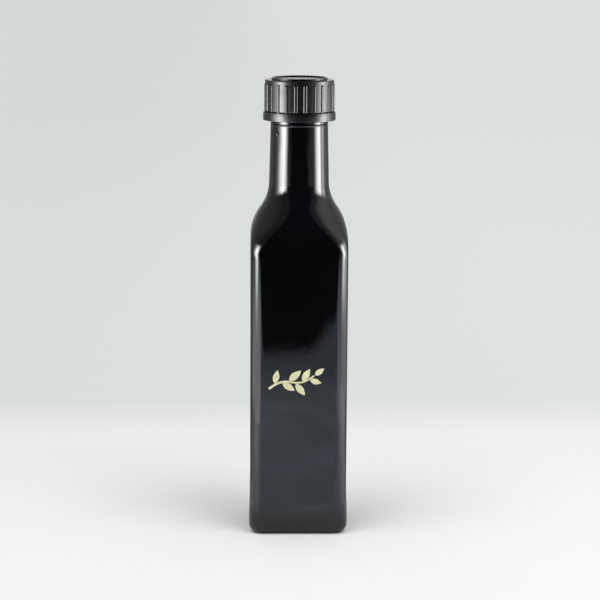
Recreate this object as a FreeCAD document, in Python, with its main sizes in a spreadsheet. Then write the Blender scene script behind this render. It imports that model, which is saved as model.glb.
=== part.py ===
import FreeCAD, Part
import math
import os
import Sketcher

# A tall square glass bottle with a round neck, shut by a ribbed screw cap
# above an unbroken tamper band.
#
# Frame: the origin is the middle of the base at the height the bottle stands
# on, +Z is up and the front face looks along -Y. Lengths are in millimetres
# and angles in degrees. An azimuth is counted from the front, towards +X.

SIZES = {
    # square body
    "body_width": 46.4,
    "body_corner": 6.0,
    "heel_height": 8.0,
    "heel_rise": 25.0,
    "heel_flare": 0.48,
    "heel_round": 4.4,
    "stand_ring": 3.7,
    "dish_depth": 1.5,
    # shoulder: the square turns round while the sides curve in to the neck
    "shoulder_start": 141.1,
    "shoulder_round": 27.5,
    "neck_round": 18.6,
    "blend_start": 134.9,
    "blend_height": 21.6,
    "roundness": 0.985,
    # neck, its moulding seam and the blister in the glass
    "neck_foot_width": 28.58,
    "neck_top_width": 26.37,
    "neck_length": 46.3,
    "seam_drop": 1.9,
    "seam_radius": 0.22,
    "blister_drop": 6.1,
    "blister_azimuth": 309.8,
    "blister_height": 3.0,
    "blister_width": 1.5,
    "blister_rise": 0.55,
    # screw cap, resting on the mouth of the neck
    "cap_turn": 8.2,
    "cap_height": 14.6,
    "cap_top_plate": 2.1,
    "cap_clearance": 0.3,
    "cap_wall": 2.62,
    "cap_taper": 0.05,
    "cap_edge_round": 0.25,
    "rim_inset": 3.07,
    "rim_wall": 0.9,
    "rim_height": 1.0,
    "rim_depth": 0.7,
    "rim_edge_round": 0.15,
    # grip ribs down the skirt of the cap
    "rib_count": 23,
    "rib_foot_width": 1.66,
    "rib_face_width": 1.0,
    "rib_height": 0.36,
    "rib_root": 0.3,
    "rib_top_gap": 1.75,
    # tamper band, hung under the skirt by small bridges
    "slit_height": 0.45,
    "band_height": 3.95,
    "band_step": 0.74,
    "band_flare": 0.1,
    "band_edge_round": 0.2,
    "bridge_width": 1.1,
    "bridge_depth": 1.2,
}

SMALL = 1e-4
QUARTER_TURN = math.pi / 2
BLEND_STEPS = 3
ARC_STEPS = 4


def join(*terms):
    """A bracketed sum of expression terms."""
    return "(" + " + ".join(terms) + ")"


def less(first, second):
    return f"({first} - {second})"


def half(expression):
    return f"({expression} / 2)"


# ---------------------------------------------------------------- derived sizes

BODY_HALF = half("Sizes.body_width")
NECK_FOOT_HALF = half("Sizes.neck_foot_width")
NECK_TOP_HALF = half("Sizes.neck_top_width")

# the shoulder's outer arc runs straight on into the arc at the foot of the neck,
# at the slope that carries the outline from the body's width to the neck's
SHOULDER_REACH = "(Sizes.shoulder_round + Sizes.neck_round)"
SHOULDER_SLOPE = f"acos(1 - ({BODY_HALF} - {NECK_FOOT_HALF}) / {SHOULDER_REACH})"
NECK_FOOT = f"(Sizes.shoulder_start + {SHOULDER_REACH} * sin({SHOULDER_SLOPE}))"
PANEL_TOP = f"(Sizes.blend_start - (Sizes.shoulder_start - Sizes.blend_start) / {BLEND_STEPS})"
MOUTH = join(NECK_FOOT, "Sizes.neck_length")

CAP_FOOT = less(join(MOUTH, "Sizes.cap_top_plate"), "Sizes.cap_height")
BAND_FOOT = f"({CAP_FOOT} - Sizes.slit_height - Sizes.band_height)"
MOUTH_IN_CAP = less("Sizes.cap_height", "Sizes.cap_top_plate")
SEAM_HEIGHT = less(BAND_FOOT, "Sizes.seam_drop")
BLISTER_HEIGHT = less(BAND_FOOT, "Sizes.blister_drop")


def neck_half(height):
    """Half the width of the tapered neck at a height."""
    share = f"(({height} - {NECK_FOOT}) / Sizes.neck_length)"
    return f"({NECK_FOOT_HALF} + ({NECK_TOP_HALF} - {NECK_FOOT_HALF}) * {share})"


CAP_BORE_HALF = join(neck_half(CAP_FOOT), "Sizes.cap_clearance")
CAP_FOOT_HALF = join(CAP_BORE_HALF, "Sizes.cap_wall")
CAP_TOP_HALF = less(CAP_FOOT_HALF, "Sizes.cap_taper")
BAND_BORE_HALF = join(neck_half(BAND_FOOT), "Sizes.cap_clearance")
BAND_TOP_HALF = join(CAP_FOOT_HALF, "Sizes.band_step")
BAND_FOOT_HALF = join(BAND_TOP_HALF, "Sizes.band_flare")


# ---------------------------------------------------------------- drawing helpers

def make_sheet(document):
    sheet = document.addObject("Spreadsheet::Sheet", "Sizes")
    for row, (name, value) in enumerate(SIZES.items(), start=1):
        sheet.set(f"A{row}", name)
        sheet.set(f"B{row}", str(value))
        sheet.setAlias(f"B{row}", name)
    document.recompute()
    return sheet


def origin_part(body, role):
    return next(item for item in body.Origin.OriginFeatures if item.Role == role)


def new_sketch(body, name, role, lift="0"):
    """A sketch on one of the body's own planes, moved along its normal by `lift`."""
    sketch = body.newObject("Sketcher::SketchObject", name)
    sketch.AttachmentSupport = [(origin_part(body, role), "")]
    sketch.MapMode = "FlatFace"
    sketch.setExpression("AttachmentOffset.Base.z", lift)
    return sketch


def value_of(sketch, expression):
    """The number that an expression stands for, to draw the first outline with."""
    return float(sketch.evalExpression(expression))


def bind(sketch, kind, where, expression):
    """Add a dimension and tie it to the sheet."""
    index = sketch.addConstraint(Sketcher.Constraint(kind, *where, value_of(sketch, expression)))
    sketch.setExpression(f"Constraints[{index}]", expression)


def pin_point(sketch, place, x_sign, x_size, y_sign, y_size):
    """Hold an end point at signed distances from the sketch's origin."""
    for kind, axis, sign, size in (("DistanceX", -2, x_sign, x_size), ("DistanceY", -1, y_sign, y_size)):
        if size == "0":
            sketch.addConstraint(Sketcher.Constraint("PointOnObject", *place, axis))
        elif sign > 0:
            bind(sketch, kind, (-1, 1, *place), size)
        else:
            bind(sketch, kind, (*place, -1, 1), size)


def draw_profile(sketch, points):
    """A closed outline of straight edges through (across, up) expressions."""
    spots = [FreeCAD.Vector(value_of(sketch, x), value_of(sketch, y), 0) for x, y in points]
    edges = []
    for start, end in zip(spots, spots[1:] + spots[:1]):
        edges.append(sketch.addGeometry(Part.LineSegment(start, end)))
    for edge, following in zip(edges, edges[1:] + edges[:1]):
        sketch.addConstraint(Sketcher.Constraint("Coincident", edge, 2, following, 1))
    for edge, (x, y) in zip(edges, points):
        pin_point(sketch, (edge, 1), 1, x, 1, y)


def draw_rounded_square(sketch, side_half, corner):
    """Four sides joined by four quarter-round corners, centred on the origin."""
    flat_half = less(side_half, corner)
    reach = value_of(sketch, side_half)
    flat = value_of(sketch, flat_half)
    # the sides in order, each by its outward direction
    turns = ((0, -1), (1, 0), (0, 1), (-1, 0))
    sides = []
    for out_x, out_y in turns:
        along_x, along_y = -out_y, out_x
        start = FreeCAD.Vector(out_x * reach - along_x * flat, out_y * reach - along_y * flat, 0)
        end = FreeCAD.Vector(out_x * reach + along_x * flat, out_y * reach + along_y * flat, 0)
        side = sketch.addGeometry(Part.LineSegment(start, end))
        for place, way in ((1, -1), (2, 1)):
            x_sign = out_x + way * along_x
            y_sign = out_y + way * along_y
            x_size = side_half if out_x else flat_half
            y_size = side_half if out_y else flat_half
            pin_point(sketch, (side, place), x_sign, x_size, y_sign, y_size)
        sides.append(side)
    for index, side in enumerate(sides):
        out_x, out_y = turns[index]
        next_x, next_y = turns[(index + 1) % 4]
        centre = FreeCAD.Vector((out_x + next_x) * flat, (out_y + next_y) * flat, 0)
        circle = Part.Circle(centre, FreeCAD.Vector(0, 0, 1), reach - flat)
        start_angle = math.atan2(out_y, out_x)
        arc = sketch.addGeometry(Part.ArcOfCircle(circle, start_angle, start_angle + QUARTER_TURN))
        sketch.addConstraint(Sketcher.Constraint("Coincident", side, 2, arc, 1))
        sketch.addConstraint(Sketcher.Constraint("Coincident", arc, 2, sides[(index + 1) % 4], 1))
        bind(sketch, "Radius", (arc,), corner)


def draw_block(sketch, near_half, near, far_half, far):
    """Four straight sides in front of the axis, from `near` to `far` out along -Y."""
    corners = ((-1, far_half, far), (1, far_half, far), (1, near_half, near), (-1, near_half, near))
    spots = [
        FreeCAD.Vector(sign * value_of(sketch, side), -value_of(sketch, out), 0)
        for sign, side, out in corners
    ]
    edges = []
    for start, end in zip(spots, spots[1:] + spots[:1]):
        edges.append(sketch.addGeometry(Part.LineSegment(start, end)))
    for edge, following in zip(edges, edges[1:] + edges[:1]):
        sketch.addConstraint(Sketcher.Constraint("Coincident", edge, 2, following, 1))
    for edge, (sign, side, out) in zip(edges, corners):
        pin_point(sketch, (edge, 1), sign, side, -1, out)


def revolve(body, name, sketch):
    feature = body.newObject("PartDesign::Revolution", name)
    feature.Profile = sketch
    feature.ReferenceAxis = (origin_part(body, "Z_Axis"), [""])
    feature.Angle = 360
    return feature


def pad(body, name, sketch, length):
    feature = body.newObject("PartDesign::Pad", name)
    feature.Profile = sketch
    feature.setExpression("Length", length)
    return feature


def loft(body, name, sketches, ruled):
    feature = body.newObject("PartDesign::AdditiveLoft", name)
    feature.Profile = sketches[0]
    feature.Sections = [(sketch, [""]) for sketch in sketches[1:]]
    feature.Ruled = ruled
    feature.Closed = False
    return feature


def ring_pattern(body, name, feature, count):
    """Repeat a feature evenly round the body's upright axis."""
    pattern = body.newObject("PartDesign::PolarPattern", name)
    pattern.Originals = [feature]
    pattern.Axis = (origin_part(body, "Z_Axis"), [""])
    pattern.Angle = 360
    pattern.setExpression("Occurrences", count)
    body.Tip = pattern
    return pattern


def round_edges(body, name, base, radius, wanted):
    """Fillet the edges of `base` whose shape satisfies `wanted`."""
    body.Document.recompute()
    edges = [f"Edge{i}" for i, edge in enumerate(base.Shape.Edges, start=1) if wanted(edge)]
    feature = body.newObject("PartDesign::Fillet", name)
    feature.Base = (base, edges)
    feature.setExpression("Radius", radius)
    return feature


def level_circle(edge, height, radius):
    """Whether an edge is a level circle about the body's own axis."""
    box = edge.BoundBox
    return (
        abs(box.ZMin - height) < SMALL
        and abs(box.ZMax - height) < SMALL
        and abs(box.XMax - radius) < SMALL
    )


def new_body(document, name):
    body = document.addObject("PartDesign::Body", name)
    body.Label = name
    return body


# ---------------------------------------------------------------- glass bottle

def blend(height):
    """How far the square has turned round at a height: 0 in the body, 1 in a circle."""
    share = f"max(0; min(1; ({height} - Sizes.blend_start) / Sizes.blend_height))"
    return f"(Sizes.roundness * {share} * {share} * (3 - 2 * {share}))"


def glass_section(body, name, height, side_half):
    """One level outline of the glass, at a height and a half width."""
    corner = f"(Sizes.body_corner + ({side_half} - Sizes.body_corner) * {blend(height)})"
    sketch = new_sketch(body, name, "XY_Plane", height)
    draw_rounded_square(sketch, side_half, corner)
    return sketch


def arc_share(step):
    """The part of the shoulder's slope that an arc has turned through after a step."""
    return f"({SHOULDER_SLOPE} * {step} / {ARC_STEPS})"


def shoulder_sections(body):
    """Outlines up the upright corners, the shoulder's outer arc and the arc into the neck."""
    outlines = []
    for step in range(-1, BLEND_STEPS):
        rise = f"((Sizes.shoulder_start - Sizes.blend_start) * {step} / {BLEND_STEPS})"
        outlines.append((join("Sizes.blend_start", rise), BODY_HALF))
    for step in range(ARC_STEPS):
        angle = arc_share(step)
        height = f"(Sizes.shoulder_start + Sizes.shoulder_round * sin({angle}))"
        outlines.append((height, f"({BODY_HALF} - Sizes.shoulder_round * (1 - cos({angle})))"))
    for step in range(ARC_STEPS, -1, -1):
        angle = arc_share(step)
        height = f"({NECK_FOOT} - Sizes.neck_round * sin({angle}))"
        outlines.append((height, f"({NECK_FOOT_HALF} + Sizes.neck_round * (1 - cos({angle})))"))
    return [
        glass_section(body, f"shoulder_outline_{number}", height, side_half)
        for number, (height, side_half) in enumerate(outlines)
    ]


def make_bottle(document):
    body = new_body(document, "glass_bottle")
    heel_half = join(BODY_HALF, "Sizes.heel_flare")

    # heel: a little wider than the panels, and drawn in to them above
    heel_foot = glass_section(body, "heel_outline", "0", heel_half)
    pad(body, "heel", heel_foot, "Sizes.heel_height")
    heel_top = glass_section(body, "heel_top_outline", "Sizes.heel_height", heel_half)
    panel_foot = glass_section(body, "panel_foot_outline", "Sizes.heel_rise", BODY_HALF)
    loft(body, "heel_taper", [heel_top, panel_foot], True)

    # four flat panels
    panel_outline = glass_section(body, "panel_outline", "Sizes.heel_rise", BODY_HALF)
    pad(body, "panels", panel_outline, less(PANEL_TOP, "Sizes.heel_rise"))

    # shoulder and neck
    sections = shoulder_sections(body)
    loft(body, "shoulder", sections, False)
    neck_foot = glass_section(body, "neck_foot_outline", NECK_FOOT, NECK_FOOT_HALF)
    mouth = glass_section(body, "mouth_outline", MOUTH, NECK_TOP_HALF)
    neck = loft(body, "neck", [neck_foot, mouth], True)

    # rounded heel
    heel_edge = round_edges(
        body, "heel_rounding", neck, "Sizes.heel_round",
        lambda edge: edge.BoundBox.ZMax < SMALL)

    # shallow dish under the base, so that the bottle stands on a ring
    dish_radius = f"({heel_half} - Sizes.heel_round - Sizes.stand_ring)"
    dish = new_sketch(body, "dish_outline", "XZ_Plane")
    draw_profile(dish, [
        ("0", "0"),
        (dish_radius, "0"),
        (less(dish_radius, "Sizes.dish_depth"), "Sizes.dish_depth"),
        ("0", "Sizes.dish_depth"),
    ])
    groove = body.newObject("PartDesign::Groove", "base_dish")
    groove.Profile = dish
    groove.ReferenceAxis = (origin_part(body, "Z_Axis"), [""])
    groove.Angle = 360

    # fine moulding seam round the neck, just under the band
    seam = body.newObject("PartDesign::AdditiveTorus", "neck_seam")
    seam.setExpression("Radius1", neck_half(SEAM_HEIGHT))
    seam.setExpression("Radius2", "Sizes.seam_radius")
    seam.setExpression("Placement.Base.z", SEAM_HEIGHT)

    # blister in the glass, high on the left of the neck
    blister = body.newObject("PartDesign::AdditiveEllipsoid", "neck_blister")
    blister.setExpression("Radius1", half("Sizes.blister_height"))
    blister.setExpression("Radius2", "Sizes.blister_rise")
    blister.setExpression("Radius3", half("Sizes.blister_width"))
    reach = neck_half(BLISTER_HEIGHT)
    blister.setExpression("Placement.Base.x", f"({reach} * sin(Sizes.blister_azimuth))")
    blister.setExpression("Placement.Base.y", f"(-{reach} * cos(Sizes.blister_azimuth))")
    blister.setExpression("Placement.Base.z", BLISTER_HEIGHT)
    blister.setExpression("Placement.Rotation.Angle", "(Sizes.blister_azimuth - 90)")
    body.Tip = blister
    return body


# ---------------------------------------------------------------- screw cap

def make_cap(document):
    body = new_body(document, "screw_cap")
    rim_half = less(CAP_TOP_HALF, "Sizes.rim_inset")
    rim_inner = less(rim_half, "Sizes.rim_wall")
    rim_top = join("Sizes.cap_height", "Sizes.rim_height")
    rim_floor = less(rim_top, "Sizes.rim_depth")

    # skirt, top plate and the raised rim on the plate, turned about the axis
    outline = new_sketch(body, "cap_outline", "XZ_Plane")
    draw_profile(outline, [
        (CAP_BORE_HALF, "0"),
        (CAP_FOOT_HALF, "0"),
        (CAP_TOP_HALF, "Sizes.cap_height"),
        (rim_half, "Sizes.cap_height"),
        (rim_half, rim_top),
        (rim_inner, rim_top),
        (rim_inner, rim_floor),
        ("0", rim_floor),
        ("0", MOUTH_IN_CAP),
        (CAP_BORE_HALF, MOUTH_IN_CAP),
    ])
    shell = revolve(body, "cap_shell", outline)

    top_height = value_of(outline, "Sizes.cap_height")
    top_radius = value_of(outline, CAP_TOP_HALF)
    edge = round_edges(
        body, "cap_edge", shell, "Sizes.cap_edge_round",
        lambda item: level_circle(item, top_height, top_radius))
    rim_level = value_of(outline, rim_top)
    round_edges(
        body, "rim_edge", edge, "Sizes.rim_edge_round",
        lambda item: item.BoundBox.ZMin > rim_level - SMALL)

    # one grip rib with sloping sides, rooted in the skirt and level with its foot
    rib_slope = "((Sizes.rib_foot_width - Sizes.rib_face_width) / 2 / Sizes.rib_height)"
    rib_root_half = join(half("Sizes.rib_foot_width"), f"{rib_slope} * Sizes.rib_root")
    plan = new_sketch(body, "rib_outline", "XY_Plane")
    draw_block(
        plan, rib_root_half, less(CAP_FOOT_HALF, "Sizes.rib_root"),
        half("Sizes.rib_face_width"), join(CAP_FOOT_HALF, "Sizes.rib_height"))
    rib = pad(body, "grip_rib", plan, less("Sizes.cap_height", "Sizes.rib_top_gap"))
    ring_pattern(body, "grip_ribs", rib, "Sizes.rib_count")

    body.setExpression("Placement.Base.z", CAP_FOOT)
    body.setExpression("Placement.Rotation.Angle", "Sizes.cap_turn")
    return body


# ---------------------------------------------------------------- tamper band

def make_band(document):
    body = new_body(document, "tamper_band")
    outline = new_sketch(body, "band_outline", "XZ_Plane")
    draw_profile(outline, [
        (BAND_BORE_HALF, "0"),
        (BAND_FOOT_HALF, "0"),
        (BAND_TOP_HALF, "Sizes.band_height"),
        (BAND_BORE_HALF, "Sizes.band_height"),
    ])
    ring = revolve(body, "band_ring", outline)
    foot_radius = value_of(outline, BAND_FOOT_HALF)
    round_edges(
        body, "band_edge", ring, "Sizes.band_edge_round",
        lambda item: level_circle(item, 0, foot_radius))

    # one bridge up to the skirt, under a grip rib
    bridge_in = less(CAP_FOOT_HALF, "Sizes.bridge_depth")
    width_half = half("Sizes.bridge_width")
    plan = new_sketch(body, "bridge_outline", "XY_Plane", "Sizes.band_height")
    draw_block(plan, width_half, bridge_in, width_half, CAP_FOOT_HALF)
    bridge = pad(body, "bridge", plan, "Sizes.slit_height")
    ring_pattern(body, "bridges", bridge, "Sizes.rib_count")

    body.setExpression("Placement.Base.z", BAND_FOOT)
    body.setExpression("Placement.Rotation.Angle", "Sizes.cap_turn")
    return body


# ---------------------------------------------------------------- build and write

def check(document, bodies):
    for item in document.Objects:
        if "Invalid" in item.State or "Error" in item.State:
            raise RuntimeError(f"{item.Name} failed: {item.State}")
    for body in bodies:
        if body.Shape.isNull() or not body.Shape.isValid():
            raise RuntimeError(f"{body.Label} has no valid shape")
        if len(body.Shape.Solids) != 1:
            raise RuntimeError(f"{body.Label} has {len(body.Shape.Solids)} solids")


def main():
    document = FreeCAD.newDocument("bottle")
    make_sheet(document)
    bottle = make_bottle(document)
    cap = make_cap(document)
    band = make_band(document)
    document.recompute()
    bodies = [bottle, cap, band]
    check(document, bodies)
    os.makedirs("parts", exist_ok=True)
    for body in bodies:
        body.Shape.exportStep(f"parts/{body.Label}.step")
        print(body.Label, round(body.Shape.Volume, 1), body.Shape.BoundBox)


main()
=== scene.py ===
"""Looks of the square glass storage bottle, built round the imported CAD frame.

The scene is in metres, Z up, with the front of the bottle towards -Y. The bottle's own sizes are
in millimetres until its meshes are made. An azimuth is counted in degrees from the front towards
the right, and an elevation in degrees upwards from level.
"""
import math

import bmesh
import bpy
from mathutils import Matrix, Vector, noise


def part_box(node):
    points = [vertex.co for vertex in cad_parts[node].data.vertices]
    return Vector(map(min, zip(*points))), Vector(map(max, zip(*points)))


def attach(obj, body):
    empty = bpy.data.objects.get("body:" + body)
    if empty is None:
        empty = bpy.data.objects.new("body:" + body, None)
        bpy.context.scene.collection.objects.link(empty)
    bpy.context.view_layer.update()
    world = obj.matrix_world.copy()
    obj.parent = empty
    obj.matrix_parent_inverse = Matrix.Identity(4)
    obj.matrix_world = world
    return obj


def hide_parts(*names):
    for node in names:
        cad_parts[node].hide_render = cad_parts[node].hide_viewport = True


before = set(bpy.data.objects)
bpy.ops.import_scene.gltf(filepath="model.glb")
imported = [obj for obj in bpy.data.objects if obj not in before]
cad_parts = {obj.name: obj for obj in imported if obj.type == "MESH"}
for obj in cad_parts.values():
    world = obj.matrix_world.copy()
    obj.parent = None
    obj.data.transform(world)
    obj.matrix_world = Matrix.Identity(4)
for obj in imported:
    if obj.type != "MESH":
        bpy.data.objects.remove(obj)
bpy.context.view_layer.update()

MM = 0.001
_, glass_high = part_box("glass_bottle")
cap_low, cap_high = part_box("screw_cap")
band_low, band_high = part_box("tamper_band")
scene = bpy.context.scene


# ------------------------------------------------------------------ helpers

def smooth(low, high, value):
    """0 below low, 1 above high, and a smooth turn between them."""
    share = min(max((value - low) / (high - low), 0.0), 1.0)
    return share * share * (3 - 2 * share)


def bump(value, centre, width):
    """1 at the centre, falling off to both sides."""
    return math.exp(-((value - centre) / width) ** 2)


def spread(low, high, count):
    return [low + (high - low) * i / (count - 1) for i in range(count)]


def direction(azimuth, elevation=0.0):
    """The unit vector at an azimuth and an elevation."""
    a, e = math.radians(azimuth), math.radians(elevation)
    return Vector((math.sin(a) * math.cos(e), -math.cos(a) * math.cos(e), math.sin(e)))


def up(height):
    return Vector((0, 0, height))


def arc(out, height, radius, start, end, steps):
    """Points (out, height) of an arc round a centre. At 0 degrees it is furthest out, at 90 highest."""
    angles = [math.radians(start + (end - start) * step / steps) for step in range(steps + 1)]
    return [(out + radius * math.cos(angle), height + radius * math.sin(angle)) for angle in angles]


def add_object(name, mesh, material):
    piece = bpy.data.objects.new(name, mesh)
    scene.collection.objects.link(piece)
    mesh.materials.append(material)
    return piece


def ride_root(piece, slot, *nodes):
    """Puts a piece on the root body and hides the CAD nodes that it stands for. The slot is not used."""
    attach(piece, "root")
    if nodes:
        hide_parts(*nodes)
    return piece


def finished_mesh(made, name):
    mesh = bpy.data.meshes.new(name)
    made.to_mesh(mesh)
    made.free()
    return mesh


def join_loops(made, first, second):
    """Faces between two loops of vertices with as many corners each."""
    count = len(first)
    for i in range(count):
        j = (i + 1) % count
        made.faces.new((first[i], first[j], second[j], second[i]))


def skin(name, rings, crease, looped=False):
    """A closed skin over rings of points in millimetres.

    A looped skin comes back to its first ring. Any other is shut by a point in the middle of each
    end. An edge that bends by more than the crease, in degrees, is sharp.
    """
    made = bmesh.new()
    rows = [[made.verts.new(point * MM) for point in ring] for ring in rings]
    following = rows[1:] + rows[:1] if looped else rows[1:]
    for row, following_row in zip(rows, following):
        join_loops(made, row, following_row)
    open_ends = [] if looped else [rows[0], rows[-1]]
    for row in open_ends:
        middle = made.verts.new(sum((corner.co for corner in row), Vector()) / len(row))
        for i, corner in enumerate(row):
            made.faces.new((corner, row[(i + 1) % len(row)], middle))
    bmesh.ops.recalc_face_normals(made, faces=made.faces)
    mesh = finished_mesh(made, name)
    mesh.shade_smooth()
    mesh.set_sharp_from_angle(angle=math.radians(crease))
    return mesh


class Nodes:
    """A short way to write a node tree."""

    def __init__(self, owner):
        owner.use_nodes = True
        self.tree = owner.node_tree
        self.tree.nodes.clear()

    def add(self, kind, settings=None, **inputs):
        node = self.tree.nodes.new(kind)
        for key, value in (settings or {}).items():
            setattr(node, key, value)
        for key, value in inputs.items():
            self.set(node, key.replace("_", " "), value)
        return node

    def set(self, node, key, value):
        """Gives an input, by its name or its number, a value or another node's output."""
        if isinstance(value, bpy.types.NodeSocket):
            self.tree.links.new(value, node.inputs[key])
        else:
            node.inputs[key].default_value = value

    def math(self, operation, *values, clamp=False):
        node = self.add("ShaderNodeMath", {"operation": operation, "use_clamp": clamp})
        for number, value in enumerate(values):
            self.set(node, number, value)
        return node.outputs[0]

    def ramp(self, factor, stops, interpolation="EASE"):
        """A colour ramp from stops of a place and a colour or a grey level."""
        node = self.add("ShaderNodeValToRGB", Fac=factor)
        elements = node.color_ramp.elements
        node.color_ramp.interpolation = interpolation
        while len(elements) < len(stops):
            elements.new(0.5)
        for element, (place, colour) in zip(elements, stops):
            element.position = place
            element.color = (*(colour if isinstance(colour, tuple) else (colour,) * 3), 1.0)
        return node.outputs["Color"]

    def noise(self, vector, scale, detail, roughness=0.5):
        node = self.add("ShaderNodeTexNoise", Vector=vector, Scale=scale, Detail=detail, Roughness=roughness)
        return node.outputs["Fac"]

    def place(self):
        """Where a point is on the object, in metres."""
        return self.add("ShaderNodeTexCoord").outputs["Object"]

    def attribute(self, name):
        return self.add("ShaderNodeAttribute", {"attribute_name": name})

    def dents(self, height, strength, distance):
        """A normal that follows small dents of a depth in metres."""
        node = self.add("ShaderNodeBump", Strength=strength, Distance=distance, Height=height)
        return node.outputs["Normal"]

    def product(self, first, second):
        """One colour times another."""
        node = self.add("ShaderNodeMix", {"data_type": "RGBA", "blend_type": "MULTIPLY"})
        for number, value in ((0, 1.0), (6, first), (7, second)):
            self.set(node, number, value)
        return node.outputs[2]

    def blend(self, share, first, second):
        """The first shader where the share is 0, the second where it is 1."""
        node = self.add("ShaderNodeMixShader", Fac=share)
        self.set(node, 1, first.outputs[0])
        self.set(node, 2, second.outputs[0])
        return node

    def show(self, shader, kind="ShaderNodeOutputMaterial"):
        self.add(kind, Surface=shader.outputs[0])


# ---------------------------------------------------------------- materials

def glass_material():
    """Near-black violet glass: fire-polished, faintly rippled, with a thin haze of handling in places."""
    material = bpy.data.materials.new("dark_glass")
    n = Nodes(material)
    place = n.place()
    tint = n.ramp(n.noise(place, 22.0, 3.0), [(0.3, (0.0010, 0.0009, 0.0014)),
                                              (0.7, (0.0020, 0.0017, 0.0030))])
    haze = n.noise(place, 38.0, 5.0, 0.62)
    rough = n.math("MULTIPLY_ADD", haze, 0.045, 0.012)
    ripple = n.dents(n.noise(place, 110.0, 3.0, 0.55), 0.05, 0.0004)
    n.show(n.add("ShaderNodeBsdfPrincipled", Base_Color=tint, Roughness=rough, IOR=1.5, Normal=ripple))
    return material


def plastic_material():
    """Black moulded polypropylene: half gloss, with a fine grain and scuffed patches."""
    material = bpy.data.materials.new("cap_plastic")
    n = Nodes(material)
    place = n.place()
    tint = n.ramp(n.noise(place, 90.0, 4.0), [(0.3, (0.0015, 0.0015, 0.0017)),
                                              (0.75, (0.0045, 0.0045, 0.0048))])
    scuffs = n.noise(place, 210.0, 6.0, 0.68)
    rough = n.math("MULTIPLY_ADD", scuffs, 0.20, 0.2)
    grain = n.dents(n.noise(place, 2600.0, 3.0, 0.6), 0.05, 0.00015)
    n.show(n.add("ShaderNodeBsdfPrincipled", Base_Color=tint, Roughness=rough, IOR=1.5, Normal=grain))
    return material


def foil_material():
    """Pale gold foil print with fine worn flecks."""
    material = bpy.data.materials.new("gold_foil")
    n = Nodes(material)
    place = n.place()
    wear = n.noise(place, 1500.0, 4.0, 0.7)
    flecks = n.ramp(wear, [(0.32, 0.5), (0.44, 1.0)], "LINEAR")
    shade = n.ramp(n.noise(place, 260.0, 3.0), [(0.3, (0.80, 0.76, 0.44)), (0.7, (0.92, 0.89, 0.56))])
    rough = n.math("MULTIPLY_ADD", n.noise(place, 700.0, 3.0), 0.25, 0.32)
    n.show(n.add("ShaderNodeBsdfPrincipled", Base_Color=n.product(shade, flecks), Metallic=0.1,
                 Roughness=rough, Normal=n.dents(wear, 0.3, 0.00004)))
    return material


# ------------------------------------------------------------- glass bottle

BODY_HALF, BODY_CORNER = 23.2, 6.0
HEEL_ROUND, HEEL_HEIGHT, HEEL_RISE = 4.4, 8.0, 25.0
STAND_RADIUS, DISH_DEPTH = 15.58, 1.5
BLEND_START, BLEND_HEIGHT, ROUNDNESS = 134.9, 21.6, 0.985
SHOULDER_START, SHOULDER_ROUND, NECK_ROUND = 141.1, 27.5, 18.6
NECK_FOOT_HALF, NECK_TOP_HALF = 14.29, 13.185
SEAM_DROP, SEAM_RISE, SEAM_WIDTH = 1.9, 0.22, 0.3
FLAT_STEPS, ARC_STEPS = 14, 18
BODY_STEP, BLEND_STEP, NECK_STEP = 4, 1.4, 2

# how far the walls sink in slow waves, and how long the waves are
WALL_SINK = 0.07
WAVE_ACROSS, WAVE_UP = 26, 42
# where the waves lie in the endless noise that makes them
WAVE_PLACE = Vector((3.1, 7.7, 1.3))
# heights between which the waves come in, and go out again
WAVE_START, WAVE_END = (6, 22), (140, 160)

BLISTER_DROP, BLISTER_AZIMUTH = 6.1, -50.2
BLISTER_HALF_WIDTH, BLISTER_HALF_HEIGHT, BLISTER_RISE = 0.95, 1.8, 0.62
BLISTER_SUNK, BLISTER_ROOT = 0.12, 0.5
BLISTER_RINGS, BLISTER_SIDES = 9, 24
# the shallow hollow that the blister left in the neck beside it
HOLLOW_DEPTH, HOLLOW_WIDTH, HOLLOW_HEIGHT = 0.10, 3.2, 5.0
HOLLOW_TURN, HOLLOW_DROP = 2, 2.5

heel_half = glass_high.x / MM
mouth = glass_high.z / MM
band_foot = band_low.z / MM
slope = math.acos(1 - (BODY_HALF - NECK_FOOT_HALF) / (SHOULDER_ROUND + NECK_ROUND))
neck_foot = SHOULDER_START + (SHOULDER_ROUND + NECK_ROUND) * math.sin(slope)
seam_height = band_foot - SEAM_DROP
blister_height = band_foot - BLISTER_DROP


def neck_half(height):
    return NECK_FOOT_HALF + (NECK_TOP_HALF - NECK_FOOT_HALF) * (height - neck_foot) / (mouth - neck_foot)


def corner_at(height, half):
    """The radius of the upright corners: they grow until the square has turned round."""
    turned = ROUNDNESS * smooth(BLEND_START, BLEND_START + BLEND_HEIGHT, height)
    return BODY_CORNER + (half - BODY_CORNER) * turned


def level_outline(height, half, corner):
    """Four flats and four quarter-round corners at a height."""
    flat = half - corner
    points = []
    for quarter in range(4):
        turn = Matrix.Rotation(math.pi / 2 * quarter, 3, "Z")
        for step in range(FLAT_STEPS):
            across = -flat * math.cos(math.pi * step / FLAT_STEPS)
            points.append(turn @ Vector((across, -half, height)))
        for step in range(ARC_STEPS):
            angle = math.pi / 2 * step / ARC_STEPS
            x = flat + corner * math.sin(angle)
            y = -flat - corner * math.cos(angle)
            points.append(turn @ Vector((x, y, height)))
    return points


def body_outline(height, half=BODY_HALF):
    return level_outline(height, half, BODY_CORNER)


def blended_outline(height, half):
    return level_outline(height, half, corner_at(height, half))


def circle_outline(height, radius):
    """A circle with as many points as the square outlines have, and in step with them."""
    return [point.normalized() * radius + up(height) for point in body_outline(0)]


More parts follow.
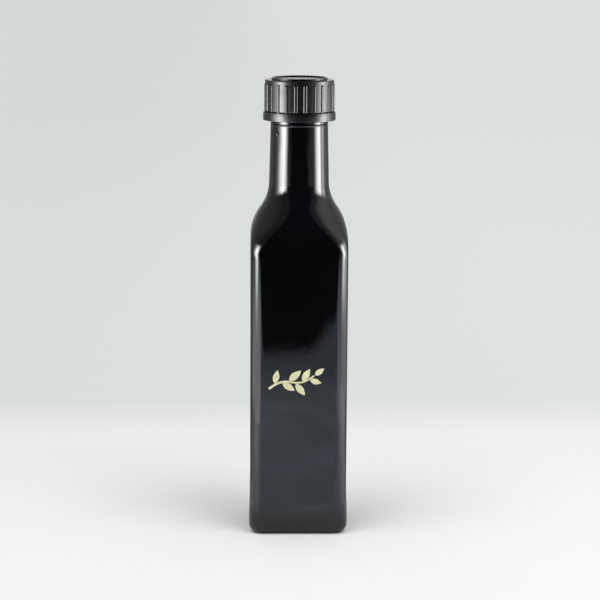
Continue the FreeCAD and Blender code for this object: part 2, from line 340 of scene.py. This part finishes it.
def settle(point):
    """Moves a point of the glass a little inwards, as the mould and the heat left it."""
    height = point.z
    outward = Vector((point.x, point.y, 0)).normalized()
    body = smooth(*WAVE_START, height) * (1 - smooth(*WAVE_END, height))
    place = Vector((point.x / WAVE_ACROSS, point.y / WAVE_ACROSS, height / WAVE_UP))
    depth = WALL_SINK * body * (1 + noise.noise(place + WAVE_PLACE))
    around = math.degrees(math.atan2(point.x, -point.y))
    aside = math.radians(around - BLISTER_AZIMUTH - HOLLOW_TURN) * NECK_TOP_HALF
    hollow = bump(aside, 0, HOLLOW_WIDTH) * bump(height, blister_height - HOLLOW_DROP, HOLLOW_HEIGHT)
    return point - outward * (depth + HOLLOW_DEPTH * hollow)


def base_rings():
    """From the middle of the dish over the standing ring and the heel to the body."""
    dish = STAND_RADIUS - DISH_DEPTH
    rings = [circle_outline(DISH_DEPTH, dish * share) for share in (0.35, 0.8, 1)]
    rings += [circle_outline(DISH_DEPTH * (1 - share), dish + DISH_DEPTH * share) for share in (0.3, 0.7, 1)]
    for half, height in arc(heel_half - HEEL_ROUND, HEEL_ROUND, HEEL_ROUND, -90, 0, 10):
        rings.append(level_outline(height, half, BODY_CORNER - (heel_half - half)))
    rings += [body_outline(height, heel_half) for height in (6.5, HEEL_HEIGHT)]
    for share in spread(0, 1, 9)[1:]:
        height = HEEL_HEIGHT + (HEEL_RISE - HEEL_HEIGHT) * share
        rings.append(body_outline(height, heel_half + (BODY_HALF - heel_half) * smooth(0, 1, share)))
    return rings


def body_rings():
    rings = []
    height = HEEL_RISE
    while height < BLEND_START - 5:
        height += BODY_STEP
        rings.append(body_outline(height))
    height = BLEND_START
    while height < SHOULDER_START:
        rings.append(blended_outline(height, BODY_HALF))
        height += BLEND_STEP
    return rings


def shoulder_rings():
    """A round outwards and a round inwards that meet on one slope."""
    turn = math.degrees(slope)
    outer = arc(BODY_HALF - SHOULDER_ROUND, SHOULDER_START, SHOULDER_ROUND, 0, turn, 20)[:-1]
    inner = arc(NECK_FOOT_HALF + NECK_ROUND, neck_foot, NECK_ROUND, 180 + turn, 180, 14)
    return [blended_outline(height, half) for half, height in outer + inner]


def neck_rings():
    heights = [neck_foot + NECK_STEP * step for step in range(1, 14)]
    heights += [seam_height + 0.1 * step for step in range(-8, 9)]
    heights += [seam_height + 1.5, band_foot + 2, mouth - 4, mouth]
    rings = []
    for height in heights:
        seam = SEAM_RISE * bump(height, seam_height, SEAM_WIDTH)
        rings.append(blended_outline(height, neck_half(height) + seam))
    return rings


def make_bottle(material):
    rings = base_rings() + body_rings() + shoulder_rings() + neck_rings()
    mesh = skin("bottle_glass", [[settle(point) for point in ring] for ring in rings], crease=50)
    return ride_root(add_object("bottle_glass", mesh, material), "dark_glass", "glass_bottle")


def make_blister(material):
    """A small drawn-out blister in the glass, high on the left of the neck."""
    out, along = direction(BLISTER_AZIMUTH), direction(BLISTER_AZIMUTH + 90)
    middle = out * neck_half(blister_height) + up(blister_height)

    def ring(share, rise):
        points = []
        for i in range(BLISTER_SIDES):
            angle = math.tau * i / BLISTER_SIDES
            side = BLISTER_HALF_WIDTH * share * math.cos(angle)
            lift = BLISTER_HALF_HEIGHT * share * math.sin(angle)
            points.append(middle + along * side + up(lift) + out * rise)
        return points

    rings = [ring(0.8, -BLISTER_ROOT)]
    for step in range(BLISTER_RINGS):
        share = 1 - step / BLISTER_RINGS
        rings.append(ring(share, BLISTER_RISE * (1 - share * share) ** 1.2 - BLISTER_SUNK))
    mesh = skin("neck_blister", rings, crease=70)
    return ride_root(add_object("neck_blister", mesh, material), "dark_glass")


# ------------------------------------------------------- screw cap and band

CAP_TURN = 8.2
CAP_BORE = 13.755
CAP_EDGE_ROUND = 0.25
SKIRT_HALF, SKIRT_TAPER, SKIRT_WALL = 16.40, 0.05, 1.2
RIM_OUT, RIM_IN, RIM_ROUND = 13.28, 12.38, 0.15
RIM_HEIGHT, RIM_DEPTH = 1.0, 0.7
RIBS, RIB_TOP_GAP = 23, 1.75
# a rib is flat near its middle line, and curves down from there to its foot
RIB_HEIGHT, RIB_FLAT, RIB_REACH = 0.36, 0.2, 0.83
# distances from a rib's middle line at which the skirt has points
RIB_STEPS = [0, 0.12] + spread(RIB_FLAT, 0.8, 11) + [RIB_REACH, 0.87, 1.3]

BAND_BORE, BAND_FLARE = 13.89, 0.1
BAND_FOOT_ROUND, BAND_TOP_ROUND = 0.2, 0.07
SLIT_HEIGHT = 0.45
BRIDGE_HALF, BRIDGE_DEPTH = 0.55, 1.2
BRIDGE_EDGE = 0.05
BRIDGE_STEPS = [0, 0.25, 0.5, 0.55, 0.6, 0.9, 1.5]


def rib_lift(distance):
    """How far a rib stands out at a distance from its middle line."""
    down = max(distance - RIB_FLAT, 0.0) / (RIB_REACH - RIB_FLAT)
    return RIB_HEIGHT * max(1 - down * down, 0.0)


def rib_columns(steps, radius):
    """Azimuths round the axis, each with its distance from the middle of the nearest rib."""
    pitch = 360 / RIBS
    sides = [-step for step in reversed(steps[1:])] + steps
    columns = []
    for number in range(RIBS):
        middle = CAP_TURN + pitch * number
        columns.append((middle - pitch / 2, math.radians(pitch / 2) * radius))
        columns += [(middle + math.degrees(side / radius), abs(side)) for side in sides]
    return columns


def no_change(distance):
    return 0.0


def turned_ring(columns, radius, height, swell=no_change, rise=no_change):
    """A ring round the axis. Near a rib, swell moves its points outwards and rise moves them up."""
    return [direction(azimuth) * (radius + swell(distance)) + up(height + rise(distance))
            for azimuth, distance in columns]


def make_cap(material):
    """The cap as rings of points. A ring close to an edge keeps the surface beside it even."""
    foot, top = cap_low.z / MM, cap_high.z / MM
    plate, recess = top - RIM_HEIGHT, top - RIM_DEPTH
    rib_end = plate - RIB_TOP_GAP - RIB_REACH
    columns = rib_columns(RIB_STEPS, SKIRT_HALF)

    def skirt(height):
        return SKIRT_HALF - SKIRT_TAPER * (height - foot) / (plate - foot)

    def plain(radius, height):
        return turned_ring(columns, radius, height)

    def ribbed(height, inset=0.0):
        """A ring of the skirt with its ribs, which run out in a round end at the top."""
        past = max(height - rib_end, 0.0)
        return turned_ring(columns, skirt(height) - inset, height,
                           swell=lambda distance: rib_lift((distance ** 4 + past ** 4) ** 0.25))

    # inside: the plate that rests on the mouth, and the bore down to the foot
    outline = [(radius, mouth + 0.02) for radius in (4, CAP_BORE - 0.6, CAP_BORE)]
    outline += [(CAP_BORE, height) for height in (mouth - 0.5, foot + 0.3, foot)]
    outline += [(SKIRT_HALF - SKIRT_WALL, foot)]
    rings = [plain(radius, height) for radius, height in outline]

    # outside: the ribs are cut off level at the skirt's foot
    rings += [ribbed(foot + rise, inset) for rise, inset in ((0, 0.12), (0.03, 0.05), (0.12, 0))]
    rings += [ribbed(foot + rise) for rise in (0.4, 1.5, 3.5, 6, 8, 10)]
    rings += [ribbed(rib_end + step) for step in RIB_STEPS[:-1]]

    # top: the rounded edge, the land, the raised rim and the recess inside it
    edge_radius, edge_height = skirt(plate) - CAP_EDGE_ROUND, plate - CAP_EDGE_ROUND
    outline = [(skirt(edge_height - drop), edge_height - drop) for drop in (0.8, 0.2)]
    outline += arc(edge_radius, edge_height, CAP_EDGE_ROUND, 0, 90, 6)
    outline += [(radius, plate) for radius in (edge_radius - 0.3, RIM_OUT + 0.5, RIM_OUT + 0.12)]
    outline += [(RIM_OUT + 0.03, plate + 0.03)]
    outline += [(RIM_OUT, height) for height in (plate + 0.1, plate + 0.14, top - RIM_ROUND - 0.04)]
    outline += arc(RIM_OUT - RIM_ROUND, top - RIM_ROUND, RIM_ROUND, 0, 90, 4)
    outline += arc(RIM_IN + RIM_ROUND, top - RIM_ROUND, RIM_ROUND, 90, 180, 4)
    outline += [(RIM_IN, recess + 0.12), (RIM_IN - 0.03, recess + 0.03), (RIM_IN - 0.12, recess)]
    outline += [(radius, recess) for radius in (RIM_IN - 0.6, 8, 3)]
    rings += [plain(radius, height) for radius, height in outline]
    mesh = skin("cap", rings, crease=55)
    return ride_root(add_object("cap", mesh, material), "cap_plastic", "screw_cap")


def make_band(material):
    """The tamper band, whose bridges stand in step with the ribs of the cap."""
    foot_half = band_high.x / MM
    top_half = foot_half - BAND_FLARE
    top = band_high.z / MM - SLIT_HEIGHT
    columns = rib_columns(BRIDGE_STEPS, top_half)

    def bridge_rise(distance):
        return SLIT_HEIGHT * (1 - smooth(BRIDGE_HALF - BRIDGE_EDGE, BRIDGE_HALF + BRIDGE_EDGE, distance))

    outline = [(BAND_BORE, height) for height in (top, top - 0.3, band_foot + 0.4)]
    outline += [(BAND_BORE + inset, band_foot) for inset in (0.2, 1)]
    outline += arc(foot_half - BAND_FOOT_ROUND, band_foot + BAND_FOOT_ROUND, BAND_FOOT_ROUND, -90, 0, 4)
    outline += arc(top_half - BAND_TOP_ROUND, top - BAND_TOP_ROUND, BAND_TOP_ROUND, 0, 90, 4)
    rings = [turned_ring(columns, radius, height) for radius, height in outline]

    # small bridges reach from the band up to the skirt
    bridge_in = SKIRT_HALF - BRIDGE_DEPTH
    rings += [turned_ring(columns, SKIRT_HALF + 0.04, top)]
    rings += [turned_ring(columns, radius, top, rise=bridge_rise) for radius in (SKIRT_HALF, bridge_in)]
    rings += [turned_ring(columns, bridge_in - 0.04, top)]
    mesh = skin("band", rings, crease=50, looped=True)
    return ride_root(add_object("band", mesh, material), "cap_plastic", "tamper_band")


# ------------------------------------------------------------- foil ornament

FOIL_CENTRE = Vector((-2.1, 75.6))
FOIL_THICK, FOIL_SUNK = 0.03, 0.1
LEAF_TURN, LEAF_STALK, TIP_STALK = 46, 0.85, 0.45
LEAF_STEPS, STEM_STEPS = 12, 40
# place along the stem, side of it, length and width
LEAVES = ((0.12, 1, 6.6, 3.0), (0.27, -1, 6.8, 3.1), (0.42, 1, 7.4, 3.4), (0.57, -1, 7.0, 3.2),
          (0.72, 1, 6.8, 3.1), (0.87, -1, 5.6, 2.7))
TIP_LENGTH, TIP_WIDTH = 5.4, 2.6


def leaf_outline(start, angle, length, width):
    """A pointed leaf as a list of points, with its widest place before its middle."""
    def side(sign):
        points = []
        for share in spread(0, 1, LEAF_STEPS + 1):
            swell = math.sin(math.pi * share ** 0.85) ** 0.9 if 0 < share < 1 else 0.0
            points.append(Vector((length * share, sign * width / 2 * swell)))
        return points

    turn = Matrix.Rotation(angle, 2)
    return [start + turn @ point for point in side(1) + side(-1)[-2:0:-1]]


def stem_point(share):
    """The stem runs in a long low S from the left to the right."""
    return Vector((-12.2 + 21.5 * share, -3.6 + 6.4 * share + 1.5 * math.sin(math.tau * share)))


def stem_direction(share, reach=0.01):
    return (stem_point(share + reach) - stem_point(share - reach)).normalized()


def stem_outline():
    left, right = [], []
    for share in spread(0, 1, STEM_STEPS + 1):
        along = stem_direction(share)
        aside = Vector((-along.y, along.x)) * (0.55 - 0.2 * share)
        left.append(stem_point(share) + aside)
        right.append(stem_point(share) - aside)
    return left + right[::-1]


def make_sprig(material):
    """A small sprig of leaves, printed on the front panel in foil."""
    outlines = [stem_outline()]
    for place, side, length, width in LEAVES:
        along = stem_direction(place)
        angle = math.atan2(along.y, along.x) + side * math.radians(LEAF_TURN)
        stalk = Vector((math.cos(angle), math.sin(angle))) * LEAF_STALK
        outlines.append(leaf_outline(stem_point(place) + stalk, angle, length, width))
    along = stem_direction(0.99)
    tip = stem_point(1.0) + along * TIP_STALK
    outlines.append(leaf_outline(tip, math.atan2(along.y, along.x), TIP_LENGTH, TIP_WIDTH))

    made = bmesh.new()
    for outline in outlines:
        points = [point + FOIL_CENTRE for point in outline]
        loops = []
        for depth in (FOIL_SUNK, -FOIL_THICK):
            loops.append([made.verts.new(Vector((x, depth - BODY_HALF, z)) * MM) for x, z in points])
            made.faces.new(loops[-1])
        join_loops(made, *loops)
    bmesh.ops.recalc_face_normals(made, faces=made.faces)
    sprig = add_object("foil_sprig", finished_mesh(made, "foil_sprig"), material)
    return ride_root(sprig, "gold_foil")


# ----------------------------------------------------------- floor and light

FLOOR_RADIUS = 14.0
PALE_FAR = (0.71, 0.74, 0.733)
FILL = 0.55
# name, azimuth, elevation, strength and the angle that it fills
SUNS = (("sun_left", -50, 66, 0.8, 30), ("sun_right", 50, 62, 0.9, 30))
# how much of the floor looks like backdrop, by the distance as a share of FADE_REACH
FADE_REACH, FADE_STOPS = 4.0, [(0.07, 0.0), (0.62, 1.0)]
# painted light: the sheet near the bottle is painted paler than what lies behind it, as a pool of
# light. Its colours go by the distance backwards from a line that lies SHEET_FRONT in front of the bottle
SHEET_FRONT = 0.2
SHEET_LIGHT_STOPS = [(0.12, (0.93, 0.95, 0.94)), (0.22, (0.90, 0.92, 0.912)), (0.35, (0.85, 0.87, 0.862)),
               (0.47, PALE_FAR)]
# painted shade: the left of the floor is painted a little darker. Its shade goes by the distance to
# the right of a line that lies SHADE_LEFT to the left of the bottle
SHADE_LEFT = 0.5
SHADE_STOPS = [(0.25, 0.94), (0.75, 1.0)]


def make_floor():
    """A wide pale floor, painted paler near the bottle and darker to the left. Far off it is as pale to the
    eye as a backdrop, without lighting the bottle.
    """
    made = bmesh.new()
    bmesh.ops.create_circle(made, cap_ends=True, segments=96, radius=FLOOR_RADIUS)
    material = bpy.data.materials.new("floor")
    n = Nodes(material)
    split = n.add("ShaderNodeSeparateXYZ", Vector=n.place())
    across, back = split.outputs[0], split.outputs[1]
    squares = n.math("ADD", n.math("MULTIPLY", across, across), n.math("MULTIPLY", back, back))
    distance = n.math("SQRT", squares)
    far = n.ramp(n.math("DIVIDE", distance, FADE_REACH), FADE_STOPS)
    # painted light: the floor is paler near the bottle
    sheet_light = n.ramp(n.math("ADD", back, SHEET_FRONT), SHEET_LIGHT_STOPS)
    # painted shade: the floor is a little darker to the left
    shade = n.ramp(n.math("ADD", across, SHADE_LEFT), SHADE_STOPS)
    colour = n.product(sheet_light, shade)
    paths = n.add("ShaderNodeLightPath")
    seen = n.math("ADD", paths.outputs["Is Camera Ray"], paths.outputs["Is Glossy Ray"], clamp=True)
    lit = n.add("ShaderNodeBsdfDiffuse", Color=colour)
    glow = n.add("ShaderNodeEmission", Color=colour, Strength=seen)
    n.show(n.blend(far, lit, glow))
    add_object("floor", finished_mesh(made, "floor"), material)


def make_world():
    world = bpy.data.worlds.new("studio")
    scene.world = world
    n = Nodes(world)
    fill = n.add("ShaderNodeBackground", Color=(1, 1, 1, 1), Strength=FILL)
    pale = n.add("ShaderNodeBackground", Color=(*PALE_FAR, 1), Strength=1.0)
    seen = n.add("ShaderNodeLightPath").outputs["Is Camera Ray"]
    n.show(n.blend(seen, fill, pale), "ShaderNodeOutputWorld")


def make_sun(name, azimuth, elevation, strength, angle):
    """A wide soft lamp, far off. The glass doesn't mirror it."""
    lamp = bpy.data.lights.new(name, "SUN")
    lamp.energy = strength
    lamp.angle = math.radians(angle)
    sun = bpy.data.objects.new(name, lamp)
    scene.collection.objects.link(sun)
    sun.rotation_mode = "QUATERNION"
    sun.rotation_quaternion = direction(azimuth, elevation).to_track_quat("Z", "Y")
    sun.visible_glossy = False


# ---------------------------------------------------- painted reflections: what the surfaces mirror

ROOM_LEVEL, BACKDROP_LEVEL = 0.03, 1.6
DOME_RADIUS = 12.5
# how the dome's level changes with the azimuth on either side
DOME_LEFT = ((0.15, 34, 46), (0.17, 60, 95), (0.05, 135, 155))
DOME_RIGHT = ((0.2, 40, 50), (0.8, 58, 86), (-0.58, 95, 135))
GROUND_HEIGHT = 0.0004
BOX_DISTANCE, BOX_FOOT, BOX_TOP, LOW_BOX_TOP = 0.24, 0.001, 0.25, 0.09


def painted_reflection_material():
    """A painted reflection: a glowing surface that only shows in reflections, as bright and as solid as each
    of its points says.
    """
    material = bpy.data.materials.new("reflected")
    material.cycles.emission_sampling = "NONE"
    n = Nodes(material)
    uneven = n.ramp(n.noise(n.place(), 24.0, 3.0), [(0.3, (0.86, 0.88, 0.84)), (0.7, (1.12, 1.10, 1.16))])
    tint = n.product(n.attribute("level").outputs["Color"], uneven)
    clear = n.add("ShaderNodeBsdfTransparent")
    glow = n.add("ShaderNodeEmission", Color=tint, Strength=1.0)
    n.show(n.blend(n.attribute("cover").outputs["Fac"], clear, glow))
    return material


def make_reflected(name, material, columns, rows, place, level, cover):
    """A grid that only glossy rays meet. place, level and cover take the two grid numbers."""
    grid = [(u, v) for v in rows for u in columns]
    wide = len(columns)
    faces = []
    for j in range(len(rows) - 1):
        for k in range(j * wide, j * wide + wide - 1):
            faces.append((k, k + 1, k + wide + 1, k + wide))
    mesh = bpy.data.meshes.new(name)
    mesh.from_pydata([place(u, v) for u, v in grid], [], faces)
    tints = [share for u, v in grid for share in (*level(u, v), 1.0)]
    mesh.attributes.new("level", "FLOAT_COLOR", "POINT").data.foreach_set("color", tints)
    covers = [cover(u, v) for u, v in grid]
    mesh.attributes.new("cover", "FLOAT", "POINT").data.foreach_set("value", covers)
    thing = add_object(name, mesh, material)
    thing.visible_camera = False
    thing.visible_diffuse = False
    thing.visible_transmission = False
    thing.visible_volume_scatter = False
    thing.visible_shadow = False


def grey(value, cool=0.0):
    return (value * (1 - cool), value, value * (1 + cool))


def stepped(value, changes, place):
    """A value with changes to it, each an amount and the two places between which it comes."""
    return value + sum(amount * smooth(start, end, place) for amount, start, end in changes)


def dome_level(azimuth, elevation):
    """Dark in front, brighter to the sides, with a pale backdrop low down behind."""
    around = abs(azimuth)
    value = stepped(ROOM_LEVEL, DOME_LEFT if azimuth < 0 else DOME_RIGHT, around)
    behind = smooth(158, 170, around) * (1 - smooth(10, 24, elevation))
    return grey(value + (BACKDROP_LEVEL - value) * behind)


def make_dome(material):
    make_reflected("dome", material, spread(-180, 180, 121), spread(0, 90, 31),
                   lambda azimuth, elevation: direction(azimuth, elevation) * DOME_RADIUS,
                   dome_level,
                   lambda azimuth, elevation: 1.0)


def sheet_level(azimuth, distance, forward):
    """Painted reflection of the lit sheet under the bottle: brightest on both sides, dimmer behind and at
    its front edge.
    """
    sides = bump(azimuth, -55, 26) + bump(azimuth, 74, 30)
    level = 1.15 + 1.5 * sides * smooth(0.04, 0.22, distance)
    return level - 0.9 * smooth(85, 128, abs(azimuth)) - 0.45 * smooth(0.27, 0.40, forward)


def beyond_level(azimuth, distance):
    """Past the sheet: a glow beside the bottle that fades with the distance, and less light behind."""
    around = abs(azimuth)
    glow = 0.55 + (2.3 if azimuth < 0 else 1.4) * (1 - smooth(0.40, 0.95, distance))
    behind = 0.42 - 0.14 * smooth(125, 150, around)
    if azimuth > 0:
        behind += 0.8 * (1 - smooth(105, 140, azimuth))
    return glow + (behind - glow) * smooth(92, 112, around)


def room_share(x, forward, around, distance):
    """Where the dark room shows: past the sheet's skewed front edge, in a wedge that widens."""
    edge = 0.43 + 0.11 * smooth(0.012, 0.045, x) + 0.5 * max(x - 0.045, 0) + 0.9 * max(-x - 0.014, 0)
    wedge = 22 + 14 * smooth(0.6, 1.3, distance)
    return smooth(edge - 0.03, edge + 0.04, forward) * (1 - smooth(wedge - 4, wedge + 4, around))


def ground_level(x, y):
    azimuth, distance = math.degrees(math.atan2(x, -y)), math.hypot(x, y)
    around = abs(azimuth)
    near, far = sheet_level(azimuth, distance, -y), beyond_level(azimuth, distance)
    value = near + (far - near) * smooth(0.24, 0.34, distance) * smooth(18, 28, around)
    dark = room_share(x, -y, around, distance)
    cool = 0.02 + 0.11 * (1 - dark) * (1 - smooth(20, 60, around))
    return grey(value + (ROOM_LEVEL - value) * dark, cool)


# painted reflection of the floor under the bottle and of the dark room in front, seen only by glossy rays
def make_ground(material):
    outer = [0.85, 1.0, 1.2, 1.5, 2, 3, 4, 8, 14]
    mirrored = [-distance for distance in reversed(outer)]
    across = mirrored + spread(-0.8, -0.12, 35) + spread(-0.1, 0.1, 41) + spread(0.12, 0.8, 35) + outer
    along = mirrored + spread(-0.8, 0.8, 161) + outer
    make_reflected("ground", material, across, along,
                   lambda x, y: (x, y, GROUND_HEIGHT),
                   ground_level,
                   lambda x, y: smooth(0.045, 0.09, math.hypot(x, y)))


def left_share(azimuth, height):
    left = -azimuth
    higher = smooth(0.10, 0.15, height)
    rise = smooth(38 + 4 * higher, 54 + 6 * higher, left)
    past = max(left - 58 - 6 * higher, 0) / (11 + 6 * higher)
    top = 0.235 + 0.015 * smooth(55, 64, left)
    return rise * math.exp(-past ** 2) * (1 - smooth(top - 0.055, top, height))


def below_top(height):
    return 1 - smooth(0.195, 0.25, height)


def right_share(azimuth, height):
    higher = smooth(0.07, 0.14, height)
    rise = smooth(50 + 4 * higher, 68 + 12 * higher, azimuth)
    fall = smooth(72 + 10 * higher, 100 - 4 * higher, azimuth)
    return rise * (1 - fall) * below_top(height)


def edge_share(azimuth, height):
    return bump(azimuth, 100, 7) * below_top(height)


def low_left_share(azimuth, height):
    return smooth(15, 40, -azimuth) * (1 - smooth(52, 80, -azimuth)) * (1 - smooth(0.06, 0.09, height))


def low_right_share(azimuth, height):
    return smooth(25, 55, azimuth) * (1 - smooth(75, 110, azimuth)) * (1 - smooth(0.05, 0.09, height))


# name, azimuths, heights over which it appears, top, share that it covers,
# and its brightness: at its foot, at its peak, and the heights between which it changes
BOXES = (("box_left", (-112, -36), (0.02, 0.08), BOX_TOP, left_share, (3.5, 23, 0.04, 0.14)),
         ("box_right", (48, 102), (0.028, 0.042), BOX_TOP, right_share, (8, 20, 0.06, 0.14)),
         ("box_right_edge", (84, 116), (0.02, 0.08), BOX_TOP, edge_share, (3, 6.5, 0.04, 0.15)),
         ("low_left", (-92, -15), (-1, 0), LOW_BOX_TOP, low_left_share, (3.4, 3.0, 0.02, 0.05)),
         ("low_right", (25, 110), (-1, 0), LOW_BOX_TOP, low_right_share, (2.9, 1.7, 0.015, 0.045)))


def make_box(material, name, azimuths, appears, top, share, brightness):
    """An upright painted glow at one distance round the bottle, seen only in reflections."""
    foot, peak, start, end = brightness
    make_reflected(name, material, spread(*azimuths, 61), spread(BOX_FOOT, top, 41),
                   lambda azimuth, height: direction(azimuth) * BOX_DISTANCE + up(height),
                   lambda azimuth, height: grey(foot + (peak - foot) * smooth(start, end, height)),
                   lambda azimuth, height: share(azimuth, height) * smooth(*appears, height))


def make_painted_reflections():
    """Painted reflections for the glass and the cap: a dark room in front, glows at both sides, a pale
    backdrop.
    """
    material = painted_reflection_material()
    make_dome(material)
    make_ground(material)
    for box in BOXES:
        make_box(material, *box)


# ------------------------------------------------------------------- camera

SENSOR_WIDTH, LENS = 36.0, 117.42
CLIP_NEAR, CLIP_FAR = 0.05, 60.0
CAMERA_AZIMUTH, CAMERA_ELEVATION, CAMERA_ROLL = -1.431, 10.6, 0.346
CAMERA_DISTANCE = 0.945
TARGET_HEIGHT, TARGET_ASIDE = 0.11058, 0.00082


def make_camera():
    data = bpy.data.cameras.new("camera")
    data.sensor_width, data.lens = SENSOR_WIDTH, LENS
    data.clip_start, data.clip_end = CLIP_NEAR, CLIP_FAR
    camera = bpy.data.objects.new("camera", data)
    scene.collection.objects.link(camera)
    back = direction(CAMERA_AZIMUTH, CAMERA_ELEVATION)
    level_right = up(1).cross(back).normalized()
    roll = math.radians(CAMERA_ROLL)
    right = level_right * math.cos(roll) + back.cross(level_right) * math.sin(roll)
    turn = Matrix((right, back.cross(right), back)).transposed()
    target = up(TARGET_HEIGHT) + right * TARGET_ASIDE
    camera.matrix_world = Matrix.Translation(target + back * CAMERA_DISTANCE) @ turn.to_4x4()
    scene.camera = camera


glass = glass_material()
plastic = plastic_material()
make_bottle(glass)
make_blister(glass)
make_cap(plastic)
make_band(plastic)
make_sprig(foil_material())
make_floor()
make_world()
for sun in SUNS:
    make_sun(*sun)
make_painted_reflections()
make_camera()
scene.view_settings.view_transform = "Standard"
